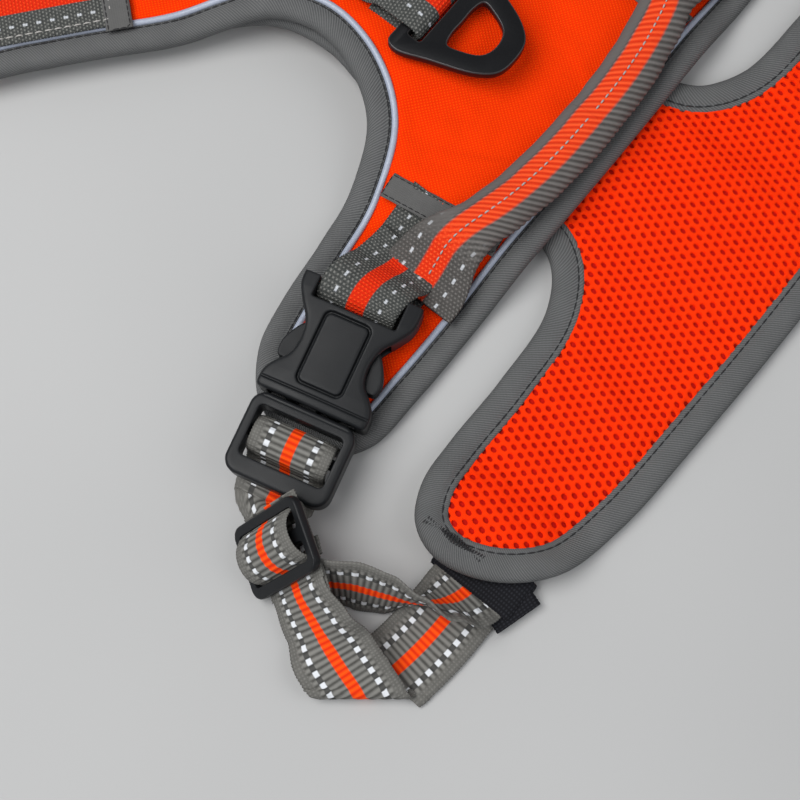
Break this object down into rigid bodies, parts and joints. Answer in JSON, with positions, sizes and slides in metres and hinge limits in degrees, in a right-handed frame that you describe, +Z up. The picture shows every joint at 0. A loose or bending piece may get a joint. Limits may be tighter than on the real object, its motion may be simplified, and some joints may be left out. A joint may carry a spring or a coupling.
{
  "type": "dog harness",
  "caption": "No pull dog harness laid flat: padded back panel with grab handle and leash ring over a mesh lined chest plate, joined by side release buckles and adjusting straps.",
  "frame": {"origin": "on the table under the middle of the footprint of the harness laid flat, chest plate below and back panel on top", "axes": "+X to the dog's right, +Y to its head, +Z up from the table; the harness is symmetrical about the plane X = 0"},
  "size_m": [0.3658, 0.3128, 0.0276],
  "materials": {
    "orange_cover": "fluorescent orange oxford weave",
    "orange_mesh": "orange air mesh with small oval holes",
    "foam": "soft closed foam",
    "grey_binding": "grey twill tape",
    "reflective_piping": "pale reflective cord",
    "grey_webbing": "coarse grey webbing with an orange stripe",
    "handle_webbing": "folded grey webbing with an orange stripe",
    "strap_webbing": "ribbed grey webbing with an orange stripe and pale dots",
    "grey_ribbon": "narrow grey ribbon",
    "black_webbing": "plain black webbing",
    "black_plastic": "satin moulded acetal",
    "black_metal": "black anodised, satin"
  },
  "bodies": {
    "root": {"back_binding": "grey_binding", "back_cover": "orange_cover", "back_lining": "orange_mesh", "back_padding": "foam", "back_piping": "reflective_piping", "chest_binding": "grey_binding", "chest_cover": "orange_cover", "chest_lining": "orange_mesh", "chest_padding": "foam", "chest_webbing": "black_webbing", "leash_webbing": "grey_webbing", "handle_tab_left": "handle_webbing", "handle_fold_left": "handle_webbing", "rear_ribbon_left": "grey_ribbon", "neck_ribbon_left": "grey_ribbon", "neck_webbing_left": "grey_webbing", "neck_strap_left": "grey_webbing", "side_webbing_left": "grey_webbing", "buckle_socket_left": "black_plastic", "side_strap_left": "strap_webbing", "return_strap_left": "strap_webbing", "strap_keeper_left": "black_webbing", "handle_tab_right": "handle_webbing", "handle_fold_right": "handle_webbing", "rear_ribbon_right": "grey_ribbon", "neck_ribbon_right": "grey_ribbon", "neck_webbing_right": "grey_webbing", "neck_strap_right": "grey_webbing", "side_webbing_right": "grey_webbing", "buckle_socket_right": "black_plastic", "side_strap_right": "strap_webbing", "return_strap_right": "strap_webbing", "strap_keeper_right": "black_webbing"},
    "leash_ring": {"leash_ring": "black_metal"},
    "chest_ring": {"chest_ring": "black_metal"},
    "handle": {"handle_grip": "handle_webbing", "handle_core": "foam"},
    "plug_left": {"buckle_plug_left": "black_plastic", "plug_strap_left": "strap_webbing"},
    "prong_left_a": {"buckle_prong_left_a": "black_plastic"},
    "prong_left_b": {"buckle_prong_left_b": "black_plastic"},
    "side_slider_left": {"side_slider_left": "black_plastic", "slider_strap_left": "strap_webbing"},
    "neck_slider_left": {"neck_slider_left": "black_plastic", "neck_hump_left": "grey_webbing"},
    "plug_right": {"buckle_plug_right": "black_plastic", "plug_strap_right": "strap_webbing"},
    "prong_right_a": {"buckle_prong_right_a": "black_plastic"},
    "prong_right_b": {"buckle_prong_right_b": "black_plastic"},
    "side_slider_right": {"side_slider_right": "black_plastic", "slider_strap_right": "strap_webbing"},
    "neck_slider_right": {"neck_slider_right": "black_plastic", "neck_hump_right": "grey_webbing"}
  },
  "joints": [
    {"name": "leash_ring_hinge", "type": "hinge", "parent": "root", "child": "leash_ring", "pos_m": [0, -0.01113, 0.0216], "axis": [-1, 0, 0], "range_deg": [0, 150], "deforming": ["leash_webbing"]},
    {"name": "chest_ring_hinge", "type": "hinge", "parent": "root", "child": "chest_ring", "pos_m": [0, 0.02057, 0.0031], "axis": [1, 0, 0], "range_deg": [0, 120], "deforming": ["chest_webbing"]},
    {"name": "handle_lift", "type": "hinge", "parent": "root", "child": "handle", "pos_m": [0, -0.06293, 0.0138], "axis": [-1, 0, 0], "range_deg": [0, 60], "deforming": ["handle_fold_left", "handle_fold_right"]},
    {"name": "buckle_release_left", "type": "slide", "parent": "root", "child": "plug_left", "axis": [-0.9659, -0.2534, -0.0523], "range_m": [0, 0.03], "deforming": ["side_strap_left", "return_strap_left", "buckle_prong_left_a", "buckle_prong_left_b"]},
    {"name": "prong_squeeze_left_a", "type": "hinge", "parent": "plug_left", "child": "prong_left_a", "pos_m": [-0.11679, -0.06886, 0.01214], "axis": [-0.0506, -0.0133, 0.9986], "range_deg": [0, 12], "stiffness_Nm_per_rad": 0.02},
    {"name": "prong_squeeze_left_b", "type": "hinge", "parent": "plug_left", "child": "prong_left_b", "pos_m": [-0.12014, -0.05609, 0.01214], "axis": [-0.0506, -0.0133, 0.9986], "range_deg": [-12, 0], "stiffness_Nm_per_rad": 0.02},
    {"name": "side_slider_left", "type": "slide", "parent": "plug_left", "child": "side_slider_left", "axis": [-0.515, -0.8572, 0], "range_m": [-0.001, 0.014], "deforming": ["plug_strap_left", "side_strap_left", "return_strap_left"]},
    {"name": "neck_slider_left", "type": "slide", "parent": "root", "child": "neck_slider_left", "axis": [-0.7741, 0.6331, 0], "range_m": [-0.004, 0.005], "deforming": ["neck_webbing_left", "neck_strap_left"]},
    {"name": "buckle_release_right", "type": "slide", "parent": "root", "child": "plug_right", "axis": [0.9659, -0.2534, -0.0523], "range_m": [0, 0.03], "deforming": ["side_strap_right", "return_strap_right", "buckle_prong_right_a", "buckle_prong_right_b"]},
    {"name": "prong_squeeze_right_a", "type": "hinge", "parent": "plug_right", "child": "prong_right_a", "pos_m": [0.12014, -0.05609, 0.01214], "axis": [0.0506, -0.0133, 0.9986], "range_deg": [0, 12], "stiffness_Nm_per_rad": 0.02},
    {"name": "prong_squeeze_right_b", "type": "hinge", "parent": "plug_right", "child": "prong_right_b", "pos_m": [0.11679, -0.06886, 0.01214], "axis": [0.0506, -0.0133, 0.9986], "range_deg": [-12, 0], "stiffness_Nm_per_rad": 0.02},
    {"name": "side_slider_right", "type": "slide", "parent": "plug_right", "child": "side_slider_right", "axis": [0.515, -0.8572, 0], "range_m": [-0.001, 0.014], "deforming": ["plug_strap_right", "side_strap_right", "return_strap_right"]},
    {"name": "neck_slider_right", "type": "slide", "parent": "root", "child": "neck_slider_right", "axis": [0.7741, 0.6331, 0], "range_m": [-0.004, 0.005], "deforming": ["neck_webbing_right", "neck_strap_right"]}
  ],
  "couplings": [
    {"joint": "prong_squeeze_left_b", "follows": "prong_squeeze_left_a", "ratio": -1},
    {"joint": "prong_squeeze_right_b", "follows": "prong_squeeze_right_a", "ratio": -1}
  ]
}
